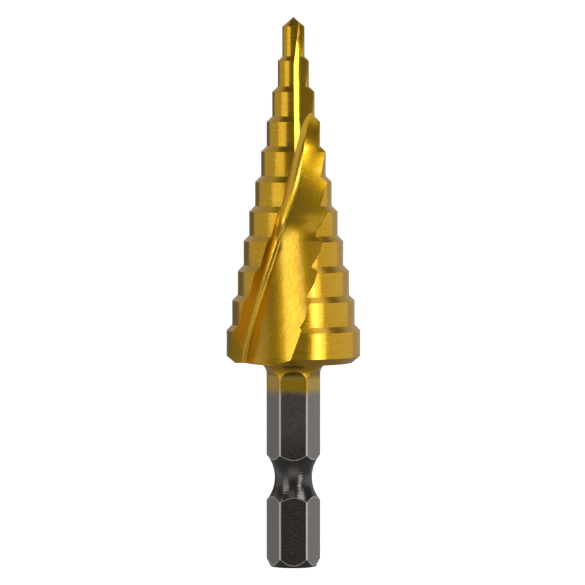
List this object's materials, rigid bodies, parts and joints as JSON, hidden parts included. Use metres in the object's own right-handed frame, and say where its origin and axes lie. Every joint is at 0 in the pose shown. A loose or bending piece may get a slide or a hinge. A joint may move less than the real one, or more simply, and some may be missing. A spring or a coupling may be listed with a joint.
{
  "type": "step drill",
  "caption": "Stepped cone drill with spiral flutes, a self-starting point and a hexagon shank with a ball groove for quick-change holders.",
  "frame": {"origin": "centre of the flat end of the shank", "axes": "+Z along the drill's axis to the point, -Y square to one flat of the hexagon"},
  "size_m": [0.018, 0.018, 0.0739],
  "materials": {
    "coated_steel": "ground high-speed steel with a gold titanium nitride coating on the cone, fading to bare grey steel on the shank"
  },
  "bodies": {
    "root": {"step_drill": "coated_steel"}
  },
  "joints": []
}
